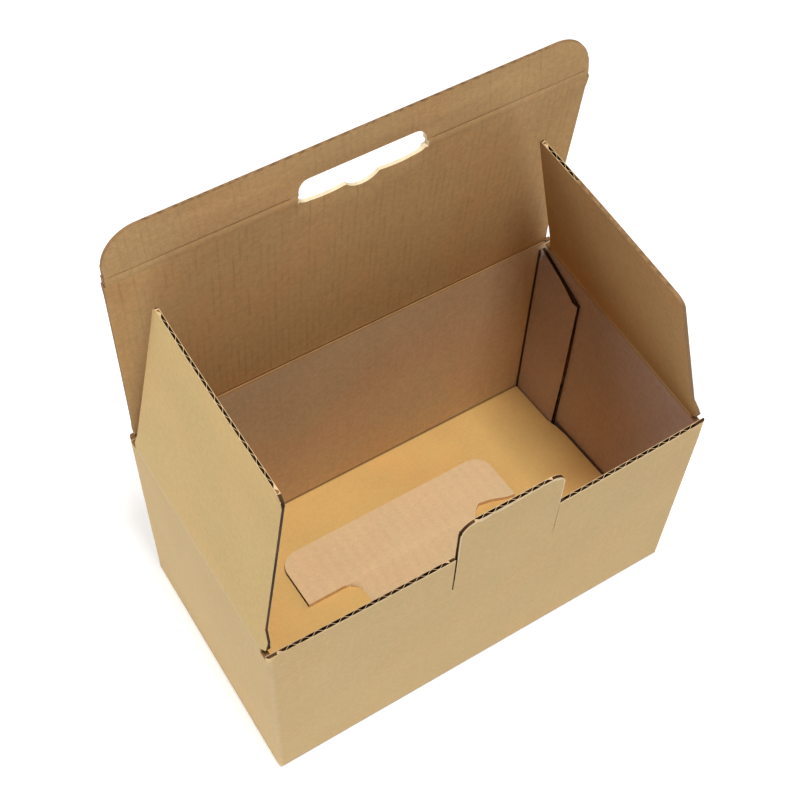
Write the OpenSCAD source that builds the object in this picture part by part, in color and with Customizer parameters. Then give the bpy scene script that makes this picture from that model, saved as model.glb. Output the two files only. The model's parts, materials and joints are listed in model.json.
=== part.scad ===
// Corrugated carry box, die cut and folded from one sheet, standing open.
// Millimetres. X runs along the length, the lid crease is at +Y, +Z is up.

/* [Box] */
// Outer length of the box, along X
box_l = 230; // [180:1:300]
// Outer depth of the box, along Y
box_w = 129; // [100:1:180]
// Height of the front wall, which is also the height of the lid crease
box_h = 130; // [90:1:180]
// Outside radius of the folded corners
corner_r = 2.5; // [1:0.1:2.9]

/* [Board] */
// Thickness of the corrugated board
board = 3; // [2.6:0.1:4]
// Distance from one flute to the next
flute_pitch = 6.25; // [5:0.05:8]
// Thickness of each flat outer paper
liner = 0.35; // [0.2:0.05:0.5]
// Thickness of the fluted paper between them
medium = 0.3; // [0.2:0.05:0.5]
// How deep the open flute ends are cut at an edge
cell_depth = 4; // [2:0.5:8]

/* [Creases] */
// Radius of the crushed board that rolls in a crease
crease_r = 1; // [0.7:0.05:1.2]
// Running gap round the rolled edge of a crease
crease_gap = 0.2; // [0.1:0.05:0.4]
// Angle from straight at which the two faces of a crease meet
fold_limit = 102; // [95:1:110]

/* [Lid] */
// Gap from the tuck flap of the closed lid to the front wall
lid_front_gap = 2; // [0.5:0.1:4]
// Gap from each lid edge to the side wall beside it
lid_side_gap = 0.7; // [0.5:0.1:4]
// How far the open lid leans forward from upright
lid_lean = 4.5; // [0:0.5:7]

/* [Tuck flap] */
// Depth of the tuck flap from its crease to its free edge
tuck_l = 22.5; // [19:0.5:40]
// Radius of the two free corners of the tuck flap
tuck_corner_r = 17; // [8:0.5:18.5]
// How much narrower the tuck flap is than the lid, on each side
tuck_inset = 1; // [0.5:0.1:4]
// How far the tuck flap leans back from the plane of the lid
tuck_back = 8.5; // [0:0.5:20]

/* [Hand hole] */
// Width of the hand hole along the tuck crease
hole_w = 59; // [45:1:90]
// Reach of the hand hole into the tuck flap
hole_up = 8.3; // [6:0.1:10]
// Reach of the hand hole into the lid, before its finger lobes
hole_down = 4.5; // [4:0.1:8]
// Radius of the corners of the hand hole
hole_r = 5; // [2:0.25:5]
// Depth of the middle finger lobe
lobe_mid = 4; // [1:0.25:5]
// Depth of the finger lobe on each side of it
lobe_side = 0.75; // [0.5:0.25:3]
// Flat between neighbouring finger lobes
lobe_gap = 0.8; // [0.4:0.1:2]
// End clearance between the rolled crease and the hand hole
hole_margin = 1; // [0.5:0.25:3]

/* [Dust flaps] */
// Gap left between the two dust flaps when both are folded in
flap_meet_gap = 2; // [1:0.5:30]
// Height of the dust flap creases below the lid crease
flap_drop = 2; // [1:0.5:4]
// Gap from a dust flap to the inside of the front wall
flap_front_gap = 3.5; // [2:0.25:6]
// Gap from a dust flap to the inside of the back wall, at its crease
flap_back_gap = 3.5; // [2:0.25:8]
// How far the back edge slants in between crease and free edge
flap_taper = 16; // [4:0.5:26]
// Radius of the free front corner of a dust flap
flap_front_r = 5; // [2:0.5:10]
// Radius of the free back corner of a dust flap
flap_back_r = 3; // [1:0.5:8]
// Gap from the ear of a dust flap to the front wall
ear_gap = 0.4; // [0.3:0.1:1.5]
// Height of the ear above the crease
ear_rise = 5; // [3.5:0.5:8]
// Length of the straight edge of the ear
ear_l = 6; // [3:0.5:12]
// How far the left dust flap leans in from upright
left_lean = 7.5; // [0:0.5:20]
// How far the right dust flap leans in from upright
right_lean = 17; // [0:0.5:20]

/* [Lock tab] */
// Play of the lock tab in the hand hole, on its two sides together
tab_play = 5; // [1:0.5:10]
// Height of the lock tab above the front wall
tab_h = 27; // [15:0.5:40]
// Offset of the lock tab to the right of the middle
tab_shift = 4.5; // [-10:0.5:10]
// Radius of the top corners of the lock tab
tab_r = 8; // [3:0.5:12]
// Depth of the slits beside the lock tab
slit_l = 30; // [10:0.5:45]
// Width of the slit on the left of the tab, which gapes
slit_left = 0.8; // [0.3:0.1:1.5]
// Width of the slit on the right, which is nearly shut
slit_right = 0.2; // [0.1:0.1:1]

/* [Glue flap] */
// Width of the glue flap along the right wall
glue_w = 33; // [20:0.5:45]
// Height of the glue flap below the lid crease, at the corner
glue_drop = 6; // [5.5:0.25:12]
// Extra slope of its top edge towards its free edge
glue_slope = 11; // [4:0.5:20]
// How far the right wall stops short of the back face
seam_short = 1; // [0.5:0.1:1.4]

/* [Snap lock bottom] */
// Slope at which the inner floor panel rises from the back wall
floor_tilt = 8.5; // [6:0.5:10]
// Gap from the floor panel to the free front edge of the box inside
floor_front_gap = 25; // [15:0.5:40]
// Gap from each side of the floor panel to the side wall
floor_side_gap = 3.6; // [3.4:0.1:8]
// Gap between layers of board that lie on each other
layer_gap = 0.2; // [0.1:0.05:0.5]
// Width of the head of the locking tongue
tongue_w = 126; // [100:1:150]
// Length of the head of the locking tongue
tongue_l = 32.5; // [20:0.5:40]
// Place of the front edge of that head, from the middle of the box
tongue_y = -2.5; // [-8:0.5:4]
// Radius of the back corners of the tongue
tongue_r = 10; // [4:0.5:14]
// Width of the neck that carries the tongue through the floor panel
neck_w = 68; // [40:1:80]
// Radius between the neck and the head
neck_r = 9; // [4:0.5:12]
// Play of the neck in its recess, on each side
neck_play = 2; // [1:0.25:4]
// Length over which the neck climbs to the floor panel
neck_run = 25; // [20:0.5:30]
// Width of the front bottom panel where its shoulders are
shoulder_w = 172; // [160:1:178]
// Reach of the two side bottom flaps into the box
side_reach = 52; // [35:1:54]
// Gap between the cut edges of neighbouring bottom flaps
cut_gap = 3; // [1:0.25:5]

/* [Hidden] */
$fn = 48;
kraft = [0.78, 0.65, 0.46];
eps = 0.01;
// Inside half sizes and the planes that run down the middle of the walls
in_x = box_l / 2 - board;
in_y = box_w / 2 - board;
mid_x = box_l / 2 - board / 2;
mid_y = box_w / 2 - board / 2;
// Half of the angle left between the two faces of a crease at its limit
vee = (180 - fold_limit) / 2;
vee_rise = board / 2 / tan(vee);
// Creases
lid_z = box_h;
flap_z = box_h - flap_drop;
lid_l = 2 * mid_y - board - lid_front_gap;
lid_half = in_x - lid_side_gap;
tuck_half = lid_half - tuck_inset;
flap_l = (2 * mid_x - flap_meet_gap) / 2;
flap_y0 = -in_y + flap_front_gap;
flap_y1 = in_y - flap_back_gap;
ear_y = -in_y + ear_gap;
ear_out = flap_y0 - ear_y;
tab_w = hole_w - tab_play;
// Bottom
rise = tan(floor_tilt);
slant = board / cos(floor_tilt);
floor_half = in_x - floor_side_gap;
floor_y = -in_y + floor_front_gap;
fold_y = in_y;
tongue_lift = slant + layer_gap;
recess_half = neck_w / 2 + neck_play;
shoulder_y = tongue_y - neck_r + eps;
panel_half = in_x - board - cut_gap / 2;
side_start = in_x;

// Section across a crease, flap side: rolled edge, vee and panel up to height h
module crease_flap(h) {
    circle(r = crease_r);
    polygon([[0, 0], [board / 2, vee_rise], [board / 2, h], [-board / 2, h], [-board / 2, vee_rise]]);
}

// Section across a crease, wall side: what is cut away above the wall
module crease_cut() {
    circle(r = crease_r + crease_gap);
    polygon([[0, 0], [board, -2 * vee_rise], [board, 3 * board], [-board, 3 * board], [-board, -2 * vee_rise]]);
}

// Open ends of the flutes over a length, drawn with the length along X and the thickness along Y
module flute_ends(length) {
    n = floor(length / flute_pitch - 0.5);
    face = board / 2 - liner;
    tip = face - medium;
    wide = 0.4 * flute_pitch;
    slim = 0.09 * flute_pitch;
    for (i = [0 : n - 1], side = [-1, 1])
        translate([(i - (n - 1) / 2 + side * 0.25) * flute_pitch, 0])
            polygon([[-wide, -side * face], [wide, -side * face], [slim, side * tip], [-slim, side * tip]]);
}

// A rectangle from corner a to corner b with its corners rounded to r
module round_rect(a, b, r) {
    translate([a[0] + r, a[1]])
        square([b[0] - a[0] - 2 * r, b[1] - a[1]]);
    translate([a[0], a[1] + r])
        square([b[0] - a[0], b[1] - a[1] - 2 * r]);
    for (x = [a[0] + r, b[0] - r], y = [a[1] + r, b[1] - r])
        translate([x, y])
            circle(r = r);
}

// Stands a drawing up so that its X runs along Y, its Y along Z, and its depth along X
module along_x(depth) {
    rotate([90, 0, 90])
        linear_extrude(depth, center = true)
            children();
}

// Stands a drawing up so that its X runs along X, its Y along Z, and its depth along Y
module along_y(depth) {
    rotate([90, 0, 0])
        linear_extrude(depth, center = true)
            children();
}

// Hand hole about the tuck crease, with its finger lobes on the lid side
module hand_hole() {
    lobe_w = (hole_w - 2 * hole_r) / 3;
    chord = lobe_w - lobe_gap;
    round_rect([-hole_w / 2, -hole_down], [hole_w / 2, hole_up], hole_r);
    for (i = [-1, 0, 1]) {
        sag = i == 0 ? lobe_mid : lobe_side;
        lobe_r = (chord * chord / 4 + sag * sag) / (2 * sag);
        intersection() {
            translate([i * lobe_w, lobe_r - sag - hole_down])
                circle(r = lobe_r);
            translate([i * lobe_w - chord / 2 - lobe_gap / 4, -hole_down - 2 * sag])
                square([chord + lobe_gap / 2, 2 * sag + lobe_gap / 2]);
        }
    }
}

// Plan of the four walls, with the glue flap and the seam at the back right corner
module wall_plan() {
    x = box_l / 2;
    y = box_w / 2;
    difference() {
        union() {
            round_rect([-x, -y], [x, y], corner_r);
            translate([in_x, 0])
                square([board, y - seam_short]);
        }
        square([2 * in_x, 2 * in_y], center = true);
        translate([in_x, y - seam_short])
            square([2 * board, 2 * board]);
        difference() {
            translate([in_x - corner_r, y - corner_r])
                square([corner_r, 2 * corner_r]);
            translate([in_x - corner_r, y - corner_r])
                circle(r = corner_r);
        }
    }
}

// Glue flap, drawn with Y along X and Z along Y
module glue_outline() {
    top = lid_z - glue_drop;
    polygon([[in_y + eps, board], [in_y + eps, top], [in_y - glue_w, top - glue_slope], [in_y - glue_w, board]]);
}

// Front edge line of the lock tab and its slits, drawn with X along X and Z along Y
module tab_outline() {
    x = tab_shift - tab_w / 2;
    round_rect([x, box_h - 2 * tab_r], [x + tab_w, box_h + tab_h], tab_r);
}

// Height of the lower face of the floor panel at y
function floor_low(y) = (fold_y - y) * rise;

// Inner floor panel: it climbs from the back crease and leaves a recess for the neck
module floor_panel() {
    difference() {
        along_x(2 * floor_half)
            polygon([
                [mid_y, 0], [fold_y, 0], [floor_y, floor_low(floor_y)],
                [floor_y, floor_low(floor_y) + slant], [fold_y, slant], [mid_y, slant]
            ]);
        linear_extrude(box_h)
            round_rect([-recess_half, floor_y - 2 * neck_r], [recess_half, tongue_y + neck_play / 2], neck_r);
    }
}

// Front bottom panel with its two shoulders, flat under the box
module front_panel() {
    y0 = -mid_y;
    bevel = panel_half - shoulder_w / 2;
    linear_extrude(board)
        difference() {
            polygon([
                [-panel_half, y0], [panel_half, y0], [panel_half, -in_y], [shoulder_w / 2, bevel - in_y],
                [shoulder_w / 2, shoulder_y], [-shoulder_w / 2, shoulder_y],
                [-shoulder_w / 2, bevel - in_y], [-panel_half, -in_y]
            ]);
            translate([-recess_half, tongue_y - neck_run])
                square([2 * recess_half, 2 * neck_run]);
        }
}

// Neck and head of the tongue: they climb out of the front panel and lie on the floor panel
module tongue() {
    y0 = tongue_y - neck_run;
    y1 = tongue_y;
    y2 = tongue_y + tongue_l;
    low1 = floor_low(y1) + tongue_lift;
    low2 = floor_low(y2) + tongue_lift;
    climb = board / cos(atan(low1 / neck_run));
    intersection() {
        along_x(2 * floor_half)
            polygon([
                [y0 - board, 0], [y0, 0], [y1, low1], [y2, low2], [y2, low2 + slant], [y1, low1 + slant],
                [y0, climb], [y0 - board, climb]
            ]);
        linear_extrude(box_h)
            difference() {
                union() {
                    translate([-neck_w / 2, y0 - board])
                        square([neck_w, neck_run + 2 * board]);
                    difference() {
                        round_rect([-tongue_w / 2, y1 - 2 * tongue_r], [tongue_w / 2, y2], tongue_r);
                        translate([-tongue_w, y1 - 4 * tongue_r])
                            square([2 * tongue_w, 4 * tongue_r]);
                    }
                    translate([-neck_w / 2 - neck_r, y1 - neck_r])
                        square([neck_w + 2 * neck_r, neck_r + eps]);
                }
                for (side = [-1, 1])
                    translate([side * (neck_w / 2 + neck_r), y1 - neck_r])
                        circle(r = neck_r);
            }
    }
}

// One side bottom flap, on the right; it climbs under the floor panel
module side_flap() {
    far = side_start - side_reach;
    back = in_y - (slant + layer_gap) / rise;
    front = -in_y + cut_gap;
    cut = panel_half - shoulder_w / 2 + cut_gap / 2;
    intersection() {
        along_y(2 * in_y)
            polygon([
                [mid_x, 0], [side_start, 0], [far, side_reach * rise],
                [far, side_reach * rise + slant], [side_start, slant], [mid_x, slant]
            ]);
        linear_extrude(box_h)
            polygon([
                [mid_x, front], [side_start, front], [side_start - cut, front + cut], [far, front + cut],
                [far, back - side_reach], [side_start, back], [mid_x, back]
            ]);
    }
}

// Rounds a bottom fold of the given length, drawn for an edge along X at the origin
module fold_round(length) {
    along_x(length)
        difference() {
            translate([-eps, -eps])
                square(corner_r + eps);
            translate([corner_r, corner_r])
                circle(r = corner_r);
        }
}

module body() {
    color(kraft)
        difference() {
            union() {
                linear_extrude(box_h)
                    wall_plan();
                translate([0, -mid_y, 0])
                    along_y(board)
                        tab_outline();
                translate([in_x - board / 2, 0, 0])
                    along_x(board + 2 * eps)
                        glue_outline();
                floor_panel();
                front_panel();
                tongue();
                side_flap();
                mirror([1, 0, 0])
                    side_flap();
            }
            // Creases of the lid and of the two dust flaps
            translate([0, mid_y, lid_z])
                along_x(2 * box_l)
                    crease_cut();
            for (side = [-1, 1])
                translate([side * mid_x, 0, flap_z])
                    along_y(2 * in_y)
                        crease_cut();
            // Slits beside the lock tab
            translate([tab_shift - tab_w / 2 - slit_left, -box_w, box_h - slit_l])
                cube([slit_left, box_w, slit_l + eps]);
            translate([tab_shift + tab_w / 2, -box_w, box_h - slit_l])
                cube([slit_right, box_w, slit_l + eps]);
            // Flute ends along the front wall and on the lock tab
            for (side = [-1, 1]) {
                run = in_x - tab_w / 2 - slit_left - side * tab_shift;
                translate([side * (in_x - run / 2), -mid_y, box_h - cell_depth])
                    linear_extrude(2 * cell_depth)
                        flute_ends(run);
            }
            translate([tab_shift, -mid_y, box_h + tab_h - cell_depth])
                linear_extrude(2 * cell_depth)
                    flute_ends(tab_w - 2 * tab_r + flute_pitch);
            // Bottom folds
            translate([0, -box_w / 2, 0])
                fold_round(2 * box_l);
            translate([0, box_w / 2, 0])
                rotate([0, 0, 180])
                    fold_round(2 * box_l);
            translate([-box_l / 2, 0, 0])
                rotate([0, 0, -90])
                    fold_round(2 * box_w);
            translate([box_l / 2, 0, 0])
                rotate([0, 0, 90])
                    fold_round(2 * box_w);
        }
}

// Carries the lid to its crease, as it stands open
module at_lid() {
    translate([0, mid_y, lid_z])
        rotate([lid_lean, 0, 0])
            children();
}

module lid_panel() {
    color(kraft)
        at_lid()
            difference() {
                along_x(2 * lid_half)
                    crease_flap(lid_l + board);
                translate([0, 0, lid_l])
                    along_x(4 * lid_half)
                        crease_cut();
                translate([0, 0, lid_l])
                    along_y(4 * board)
                        hand_hole();
            }
}

module tuck_flap() {
    root = tuck_half - hole_w / 2 - hole_margin;
    color(kraft)
        at_lid()
            translate([0, 0, lid_l])
                rotate([-tuck_back, 0, 0])
                    difference() {
                        union() {
                            for (side = [-1, 1])
                                translate([side * (tuck_half - root / 2), 0, 0])
                                    along_x(root)
                                        crease_flap(hole_up);
                            along_y(board)
                                difference() {
                                    round_rect([-tuck_half, -tuck_l], [tuck_half, tuck_l], tuck_corner_r);
                                    translate([-box_l, vee_rise - box_l])
                                        square([2 * box_l, box_l]);
                                    hand_hole();
                                }
                        }
                        translate([0, 0, tuck_l - cell_depth])
                            linear_extrude(2 * cell_depth)
                                flute_ends(2 * (tuck_half - tuck_corner_r));
                    }
}

// Outline of a dust flap above its crease, drawn with Y along X and its height along Y
module dust_outline() {
    low = vee_rise;
    slope = flap_taper / flap_l;
    back_x = flap_y1 - flap_taper;
    turn = atan(slope);
    // The back corner is rounded where the slanted edge meets the free edge
    back_cx = back_x - flap_back_r * (1 - sin(turn)) / cos(turn);
    polygon([
        [flap_y0, low], [flap_y1 - slope * low, low],
        [back_cx + flap_back_r * cos(turn), flap_l - flap_back_r + flap_back_r * sin(turn)],
        [back_cx, flap_l], [flap_y0 + flap_front_r, flap_l], [flap_y0, flap_l - flap_front_r]
    ]);
    translate([back_cx, flap_l - flap_back_r])
        circle(r = flap_back_r);
    translate([flap_y0 + flap_front_r, flap_l - flap_front_r])
        circle(r = flap_front_r);
    polygon([
        [flap_y0 + eps, ear_rise - ear_out], [ear_y, ear_rise],
        [ear_y, ear_rise + ear_l], [flap_y0 + eps, ear_rise + ear_l + 2 * ear_out]
    ]);
}

// A dust flap upright on its crease
module dust_flap() {
    back_x = flap_y1 - flap_taper;
    run = back_x - flap_y0 - flap_front_r - flap_back_r;
    root = flap_y1 - flap_y0 - flap_taper / flap_l * board;
    difference() {
        union() {
            translate([0, flap_y0 + root / 2, 0])
                along_y(root)
                    crease_flap(board);
            along_x(board)
                dust_outline();
        }
        translate([0, flap_y0 + flap_front_r + run / 2, flap_l - cell_depth])
            linear_extrude(2 * cell_depth)
                rotate(90)
                    flute_ends(run);
    }
}

module left_dust_flap() {
    color(kraft)
        translate([-mid_x, 0, flap_z])
            rotate([0, left_lean, 0])
                dust_flap();
}

module right_dust_flap() {
    color(kraft)
        translate([mid_x, 0, flap_z])
            rotate([0, -right_lean, 0])
                dust_flap();
}

body();
lid_panel();
tuck_flap();
left_dust_flap();
right_dust_flap();
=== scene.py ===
# %% [markdown]
# # An open corrugated box
# The box is one sheet of brown corrugated board, cut, creased and folded. Its solids come from the CAD
# model: the body with its snap-lock bottom, the lid, the tuck flap and two dust flaps. They could be
# shown as they are, but board is never so flat and even. So this lesson dresses them: it lets the
# panels bow a little, presses their cut edges, and gives the paper its colour, fibres and creases.

# %% Load the solids
import json
import math
from types import SimpleNamespace

import bmesh
import bpy
import numpy as np
from mathutils import Matrix

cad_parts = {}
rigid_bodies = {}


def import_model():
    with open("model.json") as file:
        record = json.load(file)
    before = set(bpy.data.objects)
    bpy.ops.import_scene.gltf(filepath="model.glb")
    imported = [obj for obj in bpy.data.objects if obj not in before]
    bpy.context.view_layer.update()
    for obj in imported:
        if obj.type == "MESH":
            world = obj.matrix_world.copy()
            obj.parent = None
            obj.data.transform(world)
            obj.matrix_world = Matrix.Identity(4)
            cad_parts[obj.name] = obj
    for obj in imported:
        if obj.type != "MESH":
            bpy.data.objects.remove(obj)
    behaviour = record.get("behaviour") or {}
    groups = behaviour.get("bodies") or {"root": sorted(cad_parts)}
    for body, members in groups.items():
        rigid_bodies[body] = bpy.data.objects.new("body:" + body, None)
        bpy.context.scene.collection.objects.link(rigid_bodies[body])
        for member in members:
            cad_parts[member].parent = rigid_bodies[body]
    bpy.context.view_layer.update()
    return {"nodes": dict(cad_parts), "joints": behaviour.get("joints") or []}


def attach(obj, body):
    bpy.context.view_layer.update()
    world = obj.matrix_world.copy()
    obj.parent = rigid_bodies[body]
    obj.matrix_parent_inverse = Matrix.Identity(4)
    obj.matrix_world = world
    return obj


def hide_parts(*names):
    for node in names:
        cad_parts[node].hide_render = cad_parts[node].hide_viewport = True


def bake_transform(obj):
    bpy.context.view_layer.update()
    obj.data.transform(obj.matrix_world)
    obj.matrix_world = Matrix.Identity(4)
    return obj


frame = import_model()
hinges = {joint["child"]: np.array(joint["pos_m"]) for joint in frame["joints"]}

# %% [markdown]
# ## Camera
# The photograph looks down into the box from above its front left corner. The camera is given by the
# point it stands at, the compass and height angles it looks along, a small roll, and the focal length
# in pixels of an 800 pixel frame. A point to aim at would be shorter, but it couldn't give the roll.
# The small shift puts the box where the photograph has it.


# %% Objects
def add_object(name, data):
    """A new object in the scene that shows some data, such as a mesh, a lamp or a lens."""
    made = bpy.data.objects.new(name, data)
    bpy.context.scene.collection.objects.link(made)
    return made


def stand(made, sides, place):
    """Stands an object at a place, with its own X, Y and Z axes along three directions."""
    pose = np.eye(4)
    pose[:3, :3] = np.column_stack(sides)
    pose[:3, 3] = place
    made.matrix_world = Matrix(pose.tolist())


# %% Place the camera
FRAME_PIXELS, FOCAL_PIXELS, CENTRE_PIXELS = 800, 1476.6, (438.4, 437.8)
EYE = (-0.2107, -0.2913, 0.6967)
AZIMUTH, ELEVATION, ROLL = np.radians([-37.19, 57.97, 5.55])
SENSOR_MM, NEAREST = 36.0, 0.01

back = np.array([
    math.sin(AZIMUTH) * math.cos(ELEVATION),
    -math.cos(AZIMUTH) * math.cos(ELEVATION),
    math.sin(ELEVATION),
])
level = np.array([math.cos(AZIMUTH), math.sin(AZIMUTH), 0.0])
upward = np.cross(back, level)
right = level * math.cos(ROLL) + upward * math.sin(ROLL)
top = upward * math.cos(ROLL) - level * math.sin(ROLL)

lens = bpy.data.cameras.new("camera")
lens.sensor_width = SENSOR_MM
lens.lens = FOCAL_PIXELS * SENSOR_MM / FRAME_PIXELS
lens.shift_x = (FRAME_PIXELS / 2 - CENTRE_PIXELS[0]) / FRAME_PIXELS
lens.shift_y = (CENTRE_PIXELS[1] - FRAME_PIXELS / 2) / FRAME_PIXELS
lens.clip_start = NEAREST
camera = add_object("camera", lens)
stand(camera, (right, top, back), EYE)
bpy.context.scene.camera = camera
print("lens", round(lens.lens, 2), "mm, shift", round(lens.shift_x, 4), round(lens.shift_y, 4))

# %% [markdown]
# ## Shader sums
# A finish is a small sum over the surface. Linking its nodes by hand is slow to write and hard to read,
# so one class wraps a node's output and gives it the signs of arithmetic: each sign adds a Math node.
# One method makes every other node.


# %% Numbers on a surface
class Value:
    """A number on the surface: the output socket of a node, with operators that add Math nodes."""

    def __init__(self, finish, socket):
        self.finish, self.socket = finish, socket

    def sum(self, operation, *others):
        """A Math node on this number and others."""
        inputs = dict(enumerate((self, *others)))
        return self.finish.node("ShaderNodeMath", {"operation": operation}, inputs)

    def __add__(self, other):
        return self.sum("ADD", other)

    def __sub__(self, other):
        return self.sum("SUBTRACT", other)

    def __rsub__(self, other):
        return self.finish.node("ShaderNodeMath", {"operation": "SUBTRACT"}, {0: other, 1: self})

    def __mul__(self, other):
        return self.sum("MULTIPLY", other)

    def __abs__(self):
        return self.sum("ABSOLUTE")

    __radd__ = __add__
    __rmul__ = __mul__

    def sine(self):
        """The sine of an angle in radians."""
        return self.sum("SINE")

    def least(self, other):
        """The smaller of two numbers."""
        return self.sum("MINIMUM", other)

    def most(self, other):
        """The larger of two numbers."""
        return self.sum("MAXIMUM", other)

    def step(self, low, high):
        """0 below low, 1 above high, and a smooth rise between them; low may be the larger one."""
        settings = {"interpolation_type": "SMOOTHSTEP", "clamp": True}
        ends = (low, high, 0.0, 1.0) if low <= high else (high, low, 1.0, 0.0)
        inputs = {"Value": self, **dict(enumerate(ends, start=1))}
        return self.finish.node("ShaderNodeMapRange", settings, inputs)


print("signs for numbers on a surface ready")


# %% Finishes
class Finish:
    """The nodes of a material, or of the room around the box, under construction."""

    def __init__(self, owner, surface="Principled BSDF"):
        owner.use_nodes = True
        self.owner, self.tree = owner, owner.node_tree
        self.surface = self.tree.nodes[surface]

    def put(self, socket, value):
        """Links a Value to a socket, or sets the socket to a plain number, colour or vector."""
        if isinstance(value, Value):
            self.tree.links.new(value.socket, socket)
        else:
            socket.default_value = value

    def feed(self, name, value):
        """Gives the surface shader the value of one of its sockets."""
        self.put(self.surface.inputs[name], value)

    def node(self, kind, settings=None, inputs=None, out=0):
        """Makes a node: its settings first, then its sockets, and returns one output as a Value."""
        made = self.tree.nodes.new(kind)
        for key, value in (settings or {}).items():
            setattr(made, key, value)
        for key, value in (inputs or {}).items():
            self.put(made.inputs[key], value)
        return Value(self, made.outputs[out])

    def attribute(self, name, out="Fac"):
        """A mark that the mesh carries under a name."""
        return self.node("ShaderNodeAttribute", {"attribute_name": name}, out=out)

    def parts(self, vector):
        """The three numbers of a vector."""
        first = self.node("ShaderNodeSeparateXYZ", {}, {0: vector})
        return [Value(self, socket) for socket in first.socket.node.outputs]

    def vector(self, x, y, z):
        """The vector of three numbers."""
        return self.node("ShaderNodeCombineXYZ", {}, {0: x, 1: y, 2: z})

    def noise(self, place, scale, detail=3.0, rough=0.55):
        """Cloudy noise about 0.5."""
        inputs = {"Vector": place, "Scale": scale, "Detail": detail, "Roughness": rough}
        return self.node("ShaderNodeTexNoise", {}, inputs)

    def mix(self, share, first, second):
        """A colour between two colours: all first at a share of 0, all second at 1."""
        share_socket, first_socket, second_socket, result = 0, 6, 7, 2
        colours = {share_socket: share, first_socket: first, second_socket: second}
        return self.node("ShaderNodeMix", {"data_type": "RGBA"}, colours, out=result)

    def scaled(self, colour, tone):
        """A colour made lighter or darker by a number."""
        return self.node("ShaderNodeVectorMath", {"operation": "SCALE"}, {0: colour, "Scale": tone})


print("finishes ready")

# %% [markdown]
# ## Room and light
# The photograph is bright all round: white table, white walls and one strong soft light almost straight
# above, which fills the floor of the box and leaves the standing panels in its half shade. The table
# glows a little here, because its light from below is what makes the outer walls so even. It doesn't
# glow under the box. The walls of the room look white, but they light the box less than that: full
# white light from all round would wash its shades away.

# %% Table
TABLE_SIDE, TABLE_DROP, TABLE_GLOW, TABLE_ROUGH = 3.0, 0.0003, 0.46, 0.9
UNDER_BOX = 0.0015
LENGTH, DEPTH, HEIGHT = 0.230, 0.129, 0.130


def srgb(red, green, blue):
    """A colour given as it is seen on screen, from 0 to 255, as the linear colour that shaders use."""
    share = np.array([red, green, blue]) / 255.0
    linear = np.where(share <= 0.04045, share / 12.92, ((share + 0.055) / 1.055) ** 2.4)
    return (*(float(part) for part in linear), 1.0)


BLACK, WHITE = srgb(0, 0, 0), srgb(255, 255, 255)
# Under the box the table is painted dark brown, as painted shade.
TABLE_PAINTED_SHADE, TABLE_PALE = srgb(60, 42, 26), srgb(238, 238, 238)
outline = np.array([[-1, -1, 0], [1, -1, 0], [1, 1, 0], [-1, 1, 0]]) * TABLE_SIDE - [0, 0, TABLE_DROP]
table = bpy.data.meshes.new("table")
table.from_pydata(outline.tolist(), [], [(0, 1, 2, 3)])
floor = add_object("floor", table)
white = Finish(bpy.data.materials.new("pale_table"))
x, y, z = white.parts(white.node("ShaderNodeTexCoord", out="Object"))
beside = (abs(x) - LENGTH / 2).most(abs(y) - DEPTH / 2).step(-UNDER_BOX, 0.0)
# Under the box the table doesn't glow and is painted dark brown as shade, so no light shows through the
# gaps of the bottom.
white.feed("Emission Color", white.mix(beside, BLACK, WHITE))
white.feed("Emission Strength", TABLE_GLOW)
white.feed("Base Color", white.mix(beside, TABLE_PAINTED_SHADE, TABLE_PALE))
white.feed("Roughness", TABLE_ROUGH)
table.materials.append(white.owner)
print("table", 2 * TABLE_SIDE, "m wide")

# %% Room and lights
ROOM_LIGHT, ROOM_SEEN = 0.17, 0.88
LIGHT_AIM = np.array([0.0, 0.0, 0.1])

world = bpy.data.worlds.new("room")
bpy.context.scene.world = world
room = Finish(world, "Background")
seen = room.node("ShaderNodeLightPath", out="Is Camera Ray")
room.feed("Color", WHITE)
room.feed("Strength", room.node("ShaderNodeMapRange", {}, {"Value": seen, 3: ROOM_LIGHT, 4: ROOM_SEEN}))


def soft_light(name, place, size, power):
    """A square soft light that shines at LIGHT_AIM. Its Z axis points away from there, and its X axis
    is the cross product of the scene's Y axis with it."""
    lamp = bpy.data.lights.new(name, "AREA")
    lamp.size = size
    lamp.energy = power
    away = np.array(place) - LIGHT_AIM
    away = away / np.linalg.norm(away)
    across = np.cross([0.0, 1.0, 0.0], away)
    across = across / np.linalg.norm(across)
    stand(add_object(name, lamp), (across, np.cross(away, across), away), place)
    print(name, power, "W")


soft_light("overhead", (-0.015, -0.28, 1.6), size=0.28, power=17.5)
soft_light("back_left_window", (-0.9, 0.6, 1.3), size=0.5, power=7.2)
bpy.context.scene.view_settings.view_transform = "Standard"

# %% [markdown]
# ## Panels
# Each panel is a copy of its solid, laid flat in its own coordinates: `across` the flutes, `along` the
# flutes, and `through` the board. It could be drawn anew, but a copy has every slit and flute end in
# its place already. The copy is cut into a grid, so that it can bow, and each face is told whether it
# is outside paper, inside paper or a cut edge. The finishes read these marks.

# %% Sizes shared with the solids, in metres
BOARD, PITCH, LINER, CELL = 0.003, 0.00625, 0.00035, 0.004
LID_LEAN, TUCK_LEAN = math.radians(4.5), math.radians(4.5 - 8.5)
LEFT_LEAN, RIGHT_LEAN = math.radians(7.5), math.radians(17.0)
LID_LENGTH, TUCK_LENGTH, FLAP_LENGTH = 0.121, 0.0225, 0.1125
half = BOARD / 2
core_half = half - LINER * 0.9
out_x, out_y = LENGTH / 2, DEPTH / 2
in_x, in_y = out_x - BOARD, out_y - BOARD
print("board", BOARD, "m, inside", 2 * in_x, "by", 2 * in_y)


# %% Helpers for arrays of points
def turn(axis, angle):
    """The rotation matrix about a coordinate axis."""
    return np.array(Matrix.Rotation(angle, 3, axis))


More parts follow.
